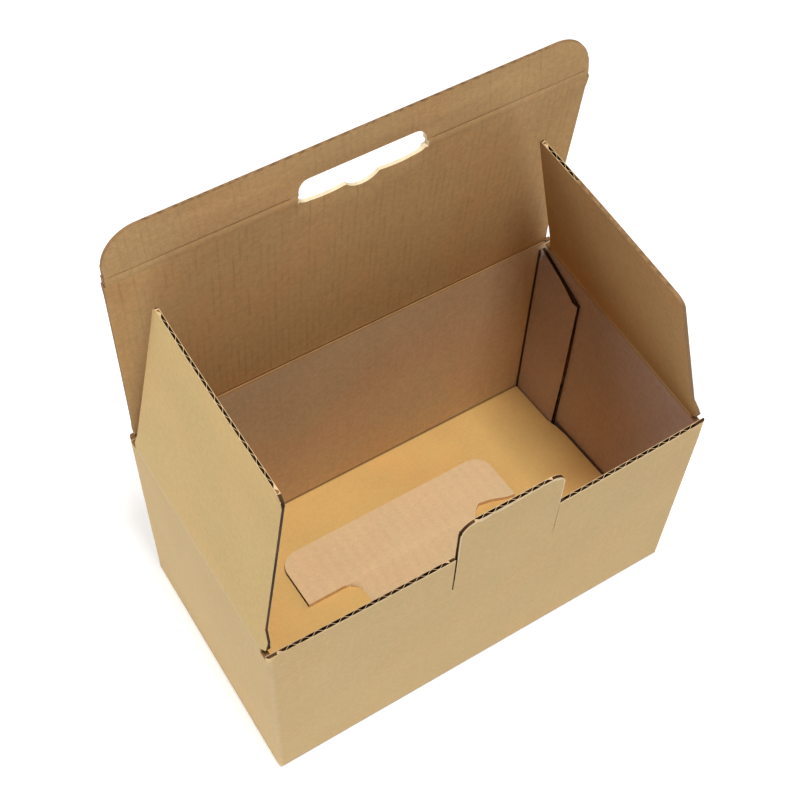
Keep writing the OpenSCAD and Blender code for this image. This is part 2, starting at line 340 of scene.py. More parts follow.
def rise(values, low, high):
    """0 below low, 1 above high, and a smooth rise between them."""
    share = np.clip((values - low) / (high - low), 0.0, 1.0)
    return share * share * (3.0 - 2.0 * share)


def between(values, bounds):
    """Whether each value lies between two bounds."""
    return (values > bounds[0]) & (values < bounds[1])


print("halfway up a rise:", float(rise(np.array(0.5), 0.0, 1.0)))


# %% Cut a copy of a solid into a grid
def gridded(node, origin, turned, pitch):
    """The solid's mesh in a panel's own frame, with its points merged and cut by planes a pitch
    apart."""
    work = bmesh.new()
    work.from_mesh(frame["nodes"][node].data)
    bmesh.ops.remove_doubles(work, verts=work.verts, dist=1e-6)
    flat = Matrix(turned.T.tolist()).to_4x4() @ Matrix.Translation((-origin).tolist())
    bmesh.ops.transform(work, matrix=flat, verts=work.verts)
    points = np.array([v.co for v in work.verts])
    for axis in range(3):
        low, high = points[:, axis].min(), points[:, axis].max()
        if high - low < 3 * pitch:
            continue
        normal = np.eye(3)[axis]
        for place in np.arange(low + pitch * 0.7, high - pitch * 0.3, pitch):
            everything = work.verts[:] + work.edges[:] + work.faces[:]
            plane = dict(plane_co=normal * place, plane_no=normal)
            bmesh.ops.bisect_plane(work, geom=everything, dist=1e-7, **plane)
    bmesh.ops.triangulate(work, faces=work.faces[:])
    mesh = bpy.data.meshes.new(node + "_board")
    work.to_mesh(mesh)
    work.free()
    return mesh


def read_points(mesh):
    """The points of a mesh, one row each."""
    points = np.empty(len(mesh.vertices) * 3)
    mesh.vertices.foreach_get("co", points)
    return points.reshape(-1, 3)


def read_faces(mesh):
    """Corner indices, centres and normals of a mesh of triangles. A normal is the cross product of two
    sides."""
    corners = np.empty(len(mesh.loops), int)
    mesh.loops.foreach_get("vertex_index", corners)
    corners = corners.reshape(-1, 3)
    place = read_points(mesh)[corners]
    normal = np.cross(place[:, 1] - place[:, 0], place[:, 2] - place[:, 0])
    normal = normal / np.maximum(np.linalg.norm(normal, axis=1, keepdims=True), 1e-15)
    return corners, place.mean(axis=1), normal


print("the lid's solid has", len(frame["nodes"]["lid_panel"].data.polygons), "triangles")

# %% Marks and placing
PANEL_SHARP = 25


def mark(mesh, domain, **fields):
    """Stores arrays on the faces, corners or points of a mesh, under the names that the finishes
    read."""
    for name, values in fields.items():
        values = np.ascontiguousarray(values, np.float32)
        kind, key = ("FLOAT_VECTOR", "vector") if values.ndim > 1 else ("FLOAT", "value")
        mesh.attributes.new(name, kind, domain).data.foreach_set(key, values.ravel())


def smooth(mesh, limit=PANEL_SHARP):
    """Shades the faces as one surface, apart from edges sharper than a limit in degrees."""
    mesh.polygons.foreach_set("use_smooth", np.ones(len(mesh.polygons), bool))
    mesh.set_sharp_from_angle(angle=math.radians(limit))


def place_panel(name, mesh, points, node):
    """Puts the bowed points into the mesh, and the panel on its body in place of its solid."""
    mesh.vertices.foreach_set("co", np.ascontiguousarray(points, np.float32).ravel())
    mesh.update()
    smooth(mesh)
    piece = add_object(name, mesh)
    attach(piece, node)
    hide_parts(node)
    print(name, len(mesh.polygons), "triangles")


print("edges stay sharp over", PANEL_SHARP, "degrees")

# %% [markdown]
# ### Lid and flaps
# A flap's own frame has its crease along one axis, its length along Z and the board through the third.
# The cutting die presses board thin along every cut. It has crushed the flutes shut along the tuck flap
# and along most of the right dust flap, so the open ends there are pushed up again. Elsewhere they stay
# open, their insides are marked to be painted dark as shade, and the pale webs between them are marked.

# %% How each flap lies
# across: the axis along the crease. out: the axis through the board, and the sign of its outer side.
# panel: a number that moves the noise, so that no two panels look alike. shut: where crushed ends stop.
# free: the height from which an edge is a free one. hole: the heights between which the hand hole lies.
NO_HOLE = (0.0, 0.0)
FLAPS = {
    "lid_panel": dict(
        lean=turn("X", LID_LEAN), across=0, out=(1, 1.0), panel=6.0, length=LID_LENGTH,
        shut=1.0, free=1.0, hole=(LID_LENGTH - 0.02, 1.0)),
    "tuck_flap": dict(
        lean=turn("X", TUCK_LEAN), across=0, out=(1, 1.0), panel=7.0, length=TUCK_LENGTH,
        shut=1.0, free=0.004, hole=(-1.0, 0.012)),
    "left_dust_flap": dict(
        lean=turn("Y", LEFT_LEAN), across=1, out=(0, -1.0), panel=8.0, length=FLAP_LENGTH,
        shut=-1.0, free=0.004, hole=NO_HOLE),
    "right_dust_flap": dict(
        lean=turn("Y", -RIGHT_LEAN), across=1, out=(0, 1.0), panel=9.0, length=FLAP_LENGTH,
        shut=0.0165, free=0.004, hole=NO_HOLE),
}
CRUSHED = {"tuck_flap": (-0.0930, 0.0930), "right_dust_flap": (-0.0525, 0.0160)}
CRUSH_LEFT = 0.00002
print("flaps:", sorted(FLAPS), "crushed:", sorted(CRUSHED))

# %% Press the cut edges
PRESS_REACH, FLAP_PRESS, CREASE_ROOM = 0.007, 0.45, (0.003, 0.010)
HOLE_END, HOLE_ROUND, HOLE_ROOM, WEB_REACH = 0.0306, 0.0046, 0.0006, 0.0006


def crushed(node, points):
    """Lifts the floors of the flute ends that the die has shut, up to just under the edge."""
    spec = FLAPS[node]
    across, through = points[:, spec["across"]], points[:, spec["out"][0]]
    in_cell = (points[:, 2] > spec["length"] - CELL * 1.05) & (np.abs(through) < core_half)
    shut = in_cell & between(across, CRUSHED.get(node, (0.0, 0.0)))
    lifted = points.copy()
    lifted[shut, 2] = np.maximum(points[shut, 2], spec["length"] - CRUSH_LEFT)
    return lifted


def from_rim(flat, rim):
    """The distance of each point from the nearest point of the cut edges in rim."""
    parts = np.array_split(flat, 40)
    nearest = [((part[:, None] - rim) ** 2).sum(axis=2).min(axis=1) for part in parts]
    return np.sqrt(np.concatenate(nearest))


def pressed(flat, rim, share):
    """How much of its thickness the board keeps: all of it inside the panel, 1 - share at the cut
    edges."""
    return 1.0 - share * (1.0 - rise(from_rim(flat, rim), 0.0, PRESS_REACH))


def press_flap(node, points, flat, rim):
    """Scales a flap's thickness down towards the cut edges in rim. It keeps it at the creases, where
    the next panel carries on, but not along the hand hole."""
    spec = FLAPS[node]
    across, along = flat[:, 0], flat[:, 1]
    keep = rise(along, *CREASE_ROOM)
    if node == "lid_panel":
        keep = keep * rise(LID_LENGTH - along, *CREASE_ROOM)
    in_hole = 1.0 - rise(np.abs(across), HOLE_END - HOLE_ROUND, HOLE_END - HOLE_ROOM)
    keep = np.maximum(keep, in_hole * between(along, spec["hole"]))
    thin = pressed(flat[:, :2], rim, FLAP_PRESS)
    points = crushed(node, points)
    points[:, spec["out"][0]] *= 1.0 - (1.0 - thin) * keep
    return points


print("board at a cut edge:", round(BOARD * (1.0 - FLAP_PRESS) * 1000, 2), "mm")

# %% Lay a flap out
FLAP_GRID, FACE_NEAR, ROLL_TOP = 0.006, 5e-5, 0.002
# Open flute ends on a flap are painted dark as shade, at this share.
EDGE_SKIN, SIDE_EDGE, FLAP_CELL_SHADE = 0.0002, 0.105, 0.8


def beside_cells(across, deep):
    """Marks the faces that lie within WEB_REACH of an open flute end along the edge."""
    cells = np.sort(across[deep])
    if len(cells) == 0:
        return np.zeros(len(across), bool)
    place = np.clip(np.searchsorted(cells, across), 1, len(cells) - 1)
    return np.minimum(np.abs(across - cells[place - 1]), np.abs(across - cells[place])) < WEB_REACH


def lay_flap(node):
    """Marks a flap's faces: paper sides by their normal through the board, everything else a cut edge.
    Returns the mesh and its points with the edges pressed."""
    spec = FLAPS[node]
    mesh = gridded(node, hinges[node], spec["lean"], FLAP_GRID)
    points = read_points(mesh)
    corners, centre, normal = read_faces(mesh)
    axis, sign = spec["out"]
    across, along, through = centre[:, spec["across"]], centre[:, 2], np.abs(centre[:, axis])
    facing = normal[:, axis] * sign
    on_face = (np.abs(through - half) < FACE_NEAR) & (np.abs(facing) > 0.9)
    cut = ~(on_face | (along < ROLL_TOP))
    # The hand hole's cut edges are painted pale: partly a fresh cut, partly painted highlight from the
    # light above.
    hole = cut & (np.abs(across) < HOLE_END + HOLE_ROOM) & between(along, spec["hole"])
    below = spec["length"] - along
    deep = cut & ~hole & (through < core_half) & between(below, (EDGE_SKIN, CELL + EDGE_SKIN))
    web = cut & ~hole & (below < EDGE_SKIN) & beside_cells(across, deep)
    flat = np.column_stack([points[:, spec["across"]], points[:, 2], points[:, axis] * sign])
    mark(mesh, "CORNER", board=flat[corners])
    # Cut faces that turn from the light above are painted darker as shade, and open flute ends near black
    # as shade.
    mark(mesh, "FACE", inside=facing < 0, cut=cut, side=cut & (np.abs(normal[:, 2]) < 0.5))
    mark(mesh, "FACE", panel=np.full(len(corners), spec["panel"]), hole=hole)
    mark(mesh, "FACE", deep=deep * FLAP_CELL_SHADE, web=web, shut=cut & ~hole & (across < spec["shut"]))
    free = cut & (hole | (np.abs(across) > SIDE_EDGE) | (along > spec["free"]))
    return mesh, press_flap(node, points, flat, flat[np.unique(corners[free]), :2])


print("flaps are cut every", FLAP_GRID * 1000, "mm")

# %% [markdown]
# Board is never quite flat. The lid bows between its two creases and fans out a little to the left, and
# the dust flaps curl towards their free edges. A cloth simulation would be too soft for board, so each
# bow is a plain formula. Nothing moves at a crease, so the panels stay joined there.

# %% Let the flaps bow
LID_FAN_LOW, LID_FAN_HIGH = 0.0014, 0.0030
LID_BOW, LID_WAVE, FLAP_BOW, FLAP_WAVE = 0.0010, 2.1, 0.0008, 1.3


def fan(across, height):
    """How far a point of lid or tuck flap lies further left: more up the lid, and more towards its left
    edge."""
    share = np.clip(height / LID_LENGTH, 0.0, 1.0)
    return (LID_FAN_LOW + (LID_FAN_HIGH - LID_FAN_LOW) * share) * rise(-across, 0.0, in_x)


def bow_lid(points):
    """Half a sine from crease to crease, times a cosine from side to side, and the fan to the left."""
    bowed = points.copy()
    share = np.clip(points[:, 2] / LID_LENGTH, 0.0, 1.0)
    bowed[:, 1] += LID_BOW * np.sin(np.pi * share) * np.cos(LID_WAVE * points[:, 0] / in_x)
    bowed[:, 0] -= fan(points[:, 0], points[:, 2])
    return bowed


def bow_tuck(points):
    """The lid's fan, as wide as it is at the lid's end."""
    bowed = points.copy()
    bowed[:, 0] -= fan(points[:, 0], LID_LENGTH)
    return bowed


def bow_dust_flap(points, depth):
    """A curl that grows with the square of the height, strongest in the middle of the free edge."""
    bowed = points.copy()
    share = np.clip(points[:, 2] / FLAP_LENGTH, 0.0, 1.0)
    bowed[:, 0] += depth * share * share * np.cos(points[:, 1] / in_y * FLAP_WAVE)
    return bowed


BOWS = {
    "lid_panel": bow_lid,
    "tuck_flap": bow_tuck,
    "left_dust_flap": lambda points: bow_dust_flap(points, -FLAP_BOW),
    "right_dust_flap": lambda points: bow_dust_flap(points, FLAP_BOW),
}
print("bowed panels:", sorted(BOWS))

# %% [markdown]
# ### Bottom
# The bottom locks itself: a tongue from the front panel climbs on its neck through a recess in the
# sloping floor panel and lies on top of it. On the real box the tongue's right arm is slimmer than the
# left one, the floor lies close against the neck, and its ends reach nearly to the walls. The solids
# need more room between their panels, so these three are moves of single points here.

# %% Tongue and floor panel
SLACK, BOTTOM_TOP, TOUCH = 1e-4, 0.03, 6e-5
FLOOR_SLOPE = math.tan(math.radians(8.5))
TONGUE_HALF, TONGUE_FRONT, TONGUE_LIFT, TONGUE_DEEP = 0.063, -0.0025, 0.003233, 0.02
NECK_HALF, NECK_ROUND, NECK_RUN, NECK_GAP = 0.034, 0.009, 0.025, 0.0002
RECESS_HALF, RECESS_BACK = 0.036, 0.001
ARM_SLIM, ARM_HIGH, ARM_BEND = 0.006, 0.004, 0.003
FLOOR_HALF, GLUE_EDGE, END_GAP, END_RUN = 0.1084, 0.0285, 0.0013, 0.007


def on(values, plane):
    """Whether each value lies on a plane, within TOUCH."""
    return np.abs(values - plane) < TOUCH


def tongue_under(y):
    """Height of the tongue's lower face: its neck climbs, then its head follows the slope of the floor
    panel."""
    top = (in_y - TONGUE_FRONT) * FLOOR_SLOPE + TONGUE_LIFT
    climb = top * (y - TONGUE_FRONT + NECK_RUN) / NECK_RUN
    return np.where(y < TONGUE_FRONT, climb, (in_y - y) * FLOOR_SLOPE + TONGUE_LIFT)


def slim_arm(points):
    """The front edge of the tongue's right arm lies further back, most of all beside the neck and not
    at all at the tip. The points stay on the slope of the tongue."""
    x, y, z = points.T
    above = z - tongue_under(y)
    elbow = NECK_HALF + NECK_ROUND
    outside_round = np.hypot(x - elbow, y - TONGUE_FRONT + NECK_ROUND) > NECK_ROUND - 2 * SLACK
    arm = between(above, (-SLACK, ARM_HIGH)) & between(x, (NECK_HALF, TONGUE_HALF + 2 * SLACK))
    arm = arm & (y > TONGUE_FRONT - NECK_ROUND - SLACK) & ((y > TONGUE_FRONT - SLACK) | outside_round)
    back = ARM_SLIM * rise(x, NECK_HALF, elbow + ARM_BEND) * (1.0 - rise(x, elbow, TONGUE_HALF))
    back = back * (1.0 - rise(y, TONGUE_FRONT, TONGUE_FRONT + TONGUE_DEEP)) * arm
    slimmed = points.copy()
    slimmed[:, 1] += back
    slimmed[:, 2] += tongue_under(y + back) - tongue_under(y)
    return slimmed


def close_recess(points):
    """Moves the left side of the floor panel's recess up to the neck, whose side ends in a quarter
    circle."""
    x, y, z = points.T
    straight = on(x, -RECESS_HALF) & (y < TONGUE_FRONT)
    corner_x, corner_y = NECK_ROUND - RECESS_HALF, TONGUE_FRONT + RECESS_BACK - NECK_ROUND
    rounded = on(np.hypot(x - corner_x, y - corner_y), NECK_ROUND) & (x < corner_x) & (y > corner_y)
    up = np.clip(y - TONGUE_FRONT + NECK_ROUND, 0.0, NECK_ROUND)
    shut = np.sqrt(NECK_ROUND ** 2 - up ** 2) - NECK_HALF - NECK_ROUND - NECK_GAP
    closed = points.copy()
    closed[:, 0] = np.where((straight | rounded) & (z < BOTTOM_TOP), np.maximum(x, shut), x)
    return closed


def reach_walls(points):
    """Moves the ends of the floor panel out to the end walls, apart from where the glue flap is in the
    way."""
    x, y, z = points.T
    above = z - (in_y - y) * FLOOR_SLOPE
    end = on(np.abs(x), FLOOR_HALF) & between(above, (-2 * SLACK, TONGUE_LIFT)) & (z < BOTTOM_TOP)
    clear = np.where(x > 0, rise(y, GLUE_EDGE - END_RUN, GLUE_EDGE), rise(y, in_y - END_RUN, in_y))
    reached = points.copy()
    reached[:, 0] += np.where(end, np.sign(x) * (in_x - END_GAP - FLOOR_HALF) * (1.0 - clear), 0.0)
    return reached


print("tongue's fold is", round(float(tongue_under(TONGUE_FRONT)) * 1000, 1), "mm up")

# %% [markdown]
# ### Body
# The walls, the glue flap and the bottom are one solid. A face belongs to the paper if it lies on one
# of the planes of the folded sheet; the rest, such as the flute ends, is cut edge. Flutes run up the
# walls and on across the bottom panels, so `across` is X on the long panels and Y on the end ones.

# %% Tell the body's faces apart
FOLD, TAB_RISE, EDGE_BAND = 0.0026, 0.027, 0.031
LEFT_END, RIGHT_END, GLUE_FLAP, FRONT, BACK, BOTTOM = range(6)


def sheet_sides(centre, normal):
    """Masks of the outside paper, the inside paper, the bottom seen from above, and the raw edge of the
    seam, by the planes that the faces lie on and the way they look."""
    x, y, z = centre.T
    nx, ny, nz = normal.T
    flat_x, flat_y = np.abs(nx) > 0.9, np.abs(ny) > 0.9
    fold = (np.abs(x) > out_x - FOLD) & (np.abs(y) > out_y - FOLD) & (np.abs(nz) < 0.2)
    raw_end = (x > 0) & (y > 0) & flat_y & ~on(y, out_y)
    fold = (fold & ~raw_end) | ((z < FOLD) & (nz < -0.04))
    outside = (flat_y & on(np.abs(y), out_y)) | (flat_x & on(np.abs(x), out_x)) | (nz < -0.9) | fold
    floor_top = (nz > 0.85) & (z < BOTTOM_TOP)
    inside = floor_top | (flat_y & on(np.abs(y), in_y) & (ny * y < 0))
    inside = inside | (flat_x & (nx * x < 0) & (on(np.abs(x), in_x) | on(x, in_x - BOARD)))
    return outside, inside, floor_top, raw_end & (x > in_x + SLACK)


def tongue_faces(centre, normal, floor_top, cut):
    """Masks of the tongue's upper face, which lies above the floor panel or climbs, and of its front
    edge."""
    x, y, z = centre.T
    ny = normal[:, 1]
    head = (ny > 0.1) & (z > (in_y - y) * FLOOR_SLOPE + BOARD * 1.5)
    edge = cut & (z < BOTTOM_TOP) & (ny < -0.3) & (np.abs(x) < TONGUE_HALF + 5 * SLACK) & (y > -0.03)
    return floor_top & (head | (ny < -0.1)), edge


def front_edge(centre):
    """Mask of the top of the front wall, with the lock tab and its slits."""
    return (centre[:, 2] > HEIGHT - EDGE_BAND) & (centre[:, 1] < -in_y + SLACK)


def glue_edge(centre):
    """Mask of the glue flap's thickness, from its free edge to its fold."""
    return between(centre[:, 0], (in_x - BOARD - SLACK, in_x + SLACK)) & (centre[:, 1] > 0.0)


def sheet_place(place, centre, normal, raw_seam):
    """Where each corner lies on the flat sheet (across, along and through the board), and each face's
    panel."""
    x, y = centre[:, 0], centre[:, 1]
    nx, nz = normal[:, 0], normal[:, 2]
    flat_z = np.abs(nz) > 0.9
    ends = ((np.abs(nx) > 0.9) & (np.abs(x) > SIDE_EDGE)) | (flat_z & (np.abs(nx) > 0.1))
    upright = ~(flat_z | (nz > 0.85))
    across = np.where(ends[:, None], place[:, :, 1], place[:, :, 0])
    level = np.where(ends[:, None], place[:, :, 0], place[:, :, 1])
    along = np.where(upright[:, None], place[:, :, 2], level)
    through = np.where(front_edge(centre)[:, None], place[:, :, 1] + out_y - half, 0.0)
    through = np.where(raw_seam[:, None], place[:, :, 0] - out_x + half, through)
    which = [ends & (x < 0), ends & (x > in_x - BOARD / 2), ends, upright & (y < 0), upright]
    panel = np.select(which, [LEFT_END, RIGHT_END, GLUE_FLAP, FRONT, BACK], BOTTOM)
    return np.stack([across, along, through], axis=2), panel


print("kinds of panel on the body:", BOTTOM + 1)

# %% Flute ends and pressed edges of the body
# The raw seam edge takes only this share of the painted shade that darkens other side faces.
RAW_SEAM_SHADE, FRONT_PRESS, GLUE_PRESS = 0.3, 0.34, 0.40
FRONT_BAND, RIM_FADE = 0.05, (0.100, 0.107)
GLUE_FROM, GLUE_FOOT = 0.02, 0.005


def mark_flute_ends(mesh, centre, normal, cut, raw_seam, through):
    """Marks cut faces along the front wall's top: deep in a flute end, on a web beside one, or dark
    elsewhere; the deep and the dark ones are painted shade."""
    x, z = centre[:, 0], centre[:, 2]
    front = front_edge(centre)
    rim_top = front & (on(z, HEIGHT) | on(z, HEIGHT + TAB_RISE))
    deep = cut & front & ~rim_top & (np.abs(through).mean(axis=1) < core_half)
    on_tab = z > HEIGHT + TAB_RISE - CELL - 10 * SLACK
    near_cells = np.where(on_tab, beside_cells(x, deep & on_tab), beside_cells(x, deep & ~on_tab))
    web = cut & rim_top & near_cells
    side = cut & ((np.abs(normal[:, 2]) < 0.5) | glue_edge(centre) | (front & ~web))
    mark(mesh, "FACE", side=side * np.where(raw_seam, RAW_SEAM_SHADE, 1.0), web=web, deep=deep)


def press_front(mesh, points, rim_points):
    """Scales the front wall's thickness down towards its cut edges, and marks how close each point is
    to the top edge, where a line of painted highlight goes: 1 on it, 0 from PRESS_REACH on."""
    wall = (points[:, 1] < -in_y + SLACK) & (points[:, 2] > HEIGHT - FRONT_BAND)
    flat = points[wall][:, [0, 2]]
    rim = points[np.intersect1d(rim_points, np.flatnonzero(wall))][:, [0, 2]]
    top_rim = rim[(rim[:, 1] > HEIGHT - 5 * SLACK) & ~on(rim[:, 1], HEIGHT + TAB_RISE - CELL)]
    rim_highlight = np.zeros(len(points))
    rim_highlight[wall] = 1.0 - from_rim(flat, top_rim) / PRESS_REACH
    rim_highlight *= 1.0 - rise(np.abs(points[:, 0]), *RIM_FADE)
    mark(mesh, "POINT", rim=np.maximum(rim_highlight, 0.0))
    middle = -out_y + half
    thinned = points.copy()
    thinned[wall, 1] = middle + (points[wall, 1] - middle) * pressed(flat, rim, FRONT_PRESS)
    return thinned


def press_glue_flap(points, rim_points):
    """Lays the inner paper of the glue flap closer to its wall towards the flap's cut edges."""
    glued = on(points[:, 0], in_x - BOARD) & (points[:, 1] > GLUE_FROM) & (points[:, 2] > GLUE_FOOT)
    rim = points[np.intersect1d(rim_points, np.flatnonzero(glued))][:, 1:]
    thinned = points.copy()
    thinned[glued, 0] = in_x - BOARD * pressed(points[glued][:, 1:], rim, GLUE_PRESS)
    return thinned


print("front wall at its top edge:", round(BOARD * (1.0 - FRONT_PRESS) * 1000, 2), "mm")

# %% Lay the body out and let it bow
BODY_GRID = 0.007
FRONT_BOW, END_BOW, BOW_FOOT, SWELL_TOP, BOW_SKIN = 0.0014, 0.0008, 0.01, 0.008, (0.0004, 0.0002)


def lay_body():
    """Marks the faces of the body, and returns its mesh and its points with the edges pressed."""
    mesh = gridded("body", np.zeros(3), np.eye(3), BODY_GRID)
    points = read_points(mesh)
    corners, centre, normal = read_faces(mesh)
    outside, inside, floor_top, raw_seam = sheet_sides(centre, normal)
    tongue, tongue_edge = tongue_faces(centre, normal, floor_top, ~(inside | outside))
    tongue, inside = tongue | tongue_edge, inside | tongue_edge
    cut = ~(inside | outside)
    board, panel = sheet_place(points[corners], centre, normal, raw_seam)
    # The inside of the right end wall and the glue flap gets a greyer paper, painted for the cool light in
    # their shade.
    right_end = inside & ((panel == RIGHT_END) | (panel == GLUE_FLAP))
    mark(mesh, "CORNER", board=board)
    mark(mesh, "FACE", inside=inside, cut=cut, panel=panel + 0.5 * tongue)
    mark(mesh, "FACE", tongue=tongue, right_end=right_end, floor=floor_top & ~tongue)
    mark_flute_ends(mesh, centre, normal, cut, raw_seam, board[:, :, 2])
    points = press_front(mesh, points, corners[cut])
    points = press_glue_flap(points, corners[cut & glue_edge(centre)])
    return mesh, reach_walls(close_recess(slim_arm(points)))


def bow_body(points):
    """The front wall bows out along its free edge, as a parabola in X; the end walls swell a little
    between floor and crease, as a squared sine in Z times a parabola in Y."""
    x, y, z = points.T
    outer, inner = BOW_SKIN
    bowed = points.copy()
    front = rise(-y, in_y - outer, in_y - inner) * (1.0 - np.clip(x / out_x, -1.0, 1.0) ** 2)
    bowed[:, 1] -= FRONT_BOW * front * rise(z, BOW_FOOT, HEIGHT)
    swell = np.sin(np.pi * np.clip(z / (HEIGHT - SWELL_TOP), 0.0, 1.0)) ** 2
    end = (1.0 - np.clip(y / out_y, -1.0, 1.0) ** 2) * swell
    outward = rise(x, in_x - outer, in_x - inner) - rise(-x, in_x - outer, in_x - inner)
    bowed[:, 0] += END_BOW * end * outward
    return bowed


print("the front wall bows by", FRONT_BOW * 1000, "mm")

# %% [markdown]
# ### Creases
# At a crease the paper runs on from panel to panel, pressed into a shallow groove. The solids stay
# apart there, because they turn. A thin strip of paper therefore lies over each face of the board, laid
# from wall to flap at the rest angle: the paper between turns part of the way. A short plug of board
# closes each end of the crease.

# %% Strips of creased paper
STRIP_REACH, STRIP_BEND, STRIP_THICK = 0.0026, 0.0019, 0.00012
STRIP_PROUD, STRIP_DIP, STRIP_BELL = 0.000015, 0.00003, 0.0006


def swing(axis, points, angle):
    """Turns each point about a coordinate axis by its own angle."""
    x, y, z = np.moveaxis(points, -1, 0)
    c, s = np.cos(angle), np.sin(angle)
    if axis == "X":
        return np.stack([x, c * y - s * z, s * y + c * z], axis=-1)
    return np.stack([c * x + s * z, y, c * z - s * x], axis=-1)


def crease_strip(axis, span, side, dent, bell, lean, thick=STRIP_THICK, stations=60, steps=41):
    """A closed strip along a crease. Its profile runs from wall to flap at the board's face, dips by
    `dent` in a bell as wide as `bell` at the crease and just under the face at both ends, and comes
    back a thickness below. Each point then turns about the crease by its share of the lean."""
    s = np.linspace(-STRIP_REACH, STRIP_REACH, steps)
    face = half + STRIP_PROUD - STRIP_DIP * (s / STRIP_REACH) ** 4 - dent * np.exp(-(s / bell) ** 2)
    loop_s = np.concatenate([s, s[::-1]])
    loop_u = np.concatenate([face, face[::-1] - thick]) * side
    a = np.linspace(*span, stations)
    grid_a, grid_s = np.meshgrid(a, loop_s, indexing="ij")
    grid_u = np.broadcast_to(loop_u, grid_a.shape)
    share = rise(grid_s, -STRIP_BEND, STRIP_BEND)
    order = (grid_a, grid_u, grid_s) if axis == "X" else (grid_u, grid_a, grid_s)
    points = swing(axis, np.stack(order, axis=-1), share * lean).reshape(-1, 3)
    ring = 2 * steps
    index = np.arange(stations * ring).reshape(stations, ring)
    ahead = np.roll(index, -1, axis=1)
    walls = np.stack([index[:-1], ahead[:-1], ahead[1:], index[1:]], axis=-1).reshape(-1, 4)
    low, high = np.arange(steps - 1), ring - 1 - np.arange(steps - 1)
    first, last = index[0], index[-1]
    caps = [np.stack([end[low], end[low + 1], end[high - 1], end[high]], axis=-1) for end in (first, last)]
    flat = np.stack([grid_a, grid_s, grid_u * side], axis=-1).reshape(-1, 3)
    return points, np.concatenate([walls, *caps]), flat


print("creased paper is", round(2000 * STRIP_REACH, 1), "mm wide")

# %% Join the strips of a crease
PLUG_PROUD, PLUG_LONG, PLUG_SUNK, PLUG_BELL, PLUG_STATIONS = 0.0003, 0.0012, 0.00007, 1.0, 3
PALE_PLUG, CREASE_SHARP = 0.004, 60


def crease_plugs(axis, spans, lean):
    """A strip as thick as the board at each end of each span, a little sunk under the paper."""
    thick = BOARD - 2 * PLUG_SUNK
    ends = [end for low, high in spans
            for end in ((low - PLUG_PROUD, low + PLUG_LONG), (high - PLUG_LONG, high + PLUG_PROUD))]
    return [crease_strip(axis, end, 1, PLUG_SUNK, PLUG_BELL, lean, thick, PLUG_STATIONS) for end in ends]


def crease_paper(name, child, axis, base, lean, strips, finish, bell=STRIP_BELL):
    """Joins the strips of one crease into a piece that bends between the panels on its two sides. A
    strip is its span along the crease, its side of the board, the outer side, and how deep its groove
    is."""
    made = [(crease_strip(axis, span, side, dent, bell, lean), side * out < 0, 0)
            for span, side, out, dent in strips]
    spans = sorted({span for span, *rest in strips})
    made += [(plug, True, 1) for plug in crease_plugs(axis, spans, lean)]
    places, faces, flats, insides, plugs, pale, count = [], [], [], [], [], [], 0
    for (points, quads, flat), inside, plugged in made:
        places.append(points)
        faces.append(quads + count)
        flats.append(flat)
        insides.append(np.full(len(points), inside))
        plugs.append(np.full(len(points), plugged))
        # Plugs beside the tuck's hand hole take the same pale edge, partly painted highlight.
        pale.append(plugged * (np.abs(flat[:, 0]) < HOLE_END + PALE_PLUG) * (child == "tuck_flap"))
        count += len(points)
    points = np.concatenate(places) @ base.T + hinges[child]
    mesh = bpy.data.meshes.new(name)
    mesh.from_pydata(points.tolist(), [], np.concatenate(faces).tolist())
    work = bmesh.new()
    work.from_mesh(mesh)
    bmesh.ops.recalc_face_normals(work, faces=work.faces[:])
    work.to_mesh(mesh)
    work.free()
    mark(mesh, "POINT", board=np.concatenate(flats), inside=np.concatenate(insides))
    mark(mesh, "POINT", cut=np.concatenate(plugs), shut=np.concatenate(plugs), hole=np.concatenate(pale))
    mark(mesh, "POINT", panel=np.full(count, FLAPS[child]["panel"]))
    smooth(mesh, CREASE_SHARP)
    mesh.materials.append(finish)
    piece = add_object(name, mesh)
    up = base @ np.array([0.0, 0.0, STRIP_BEND])
    tuple(hinges[child] - up)
    tuple(hinges[child] + up)
    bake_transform(piece)
    print(name, len(mesh.polygons), "faces")


print("plugs are", round((PLUG_PROUD + PLUG_LONG) * 1000, 1), "mm long")

# %% [markdown]
# ## Kraft paper
# Brown paper is never one colour. It has soft clouds, some warmer and some cooler, long fibres, small
# dark and pale flecks, broken streaks where the flutes press through, and pale lines where a fold has
# stretched it. A picture of paper would repeat itself and show its seams, so all of this is noise and
# sums of noise. Cut edges show two pale papers with the core between them, painted darker as shade on
# faces that turn from the light above and almost black as shade inside an open flute end; it is pale
# on the webs between two ends, even where the die has crushed them. The front wall's outer paper has a
# pale line of painted highlight along its top edge, and the hand hole's edges are pale, partly as
# painted highlight.

# %% Colours of the board
# The body's inner walls get a greyer paper than the flaps' inside, and the right end wall and glue flap
# greyer still: painted for the cool light in their shade.
OUTSIDE, INSIDE, WALLS_IN_SHADE = srgb(213, 184, 133), srgb(202, 163, 111), srgb(209, 180, 141)
# The tuck flap's paper, also on its crease, and the right dust flap's are painted darker, as shade; the
# left dust flap's outer paper is painted lighter, as light.
TUCK_SHADED, TUCK_CREASE_SHADED, LEFT_FLAP_LIT = srgb(190, 153, 105), srgb(196, 158, 108), srgb(217, 187, 128)
RIGHT_FLAP_SHADED, RIGHT_WALL_IN_SHADE = srgb(180, 145, 98), srgb(190, 166, 154)
# The tongue's paper is painted paler than the floor's, as painted light: it lies higher and less shaded.
FLOOR_PAPER, TONGUE_LIT_PAPER = srgb(226, 187, 117), srgb(229, 202, 157)
STRETCHED, SHADED, ROSY = srgb(228, 198, 152), srgb(74, 46, 24), (1.05, 0.955, 0.93)
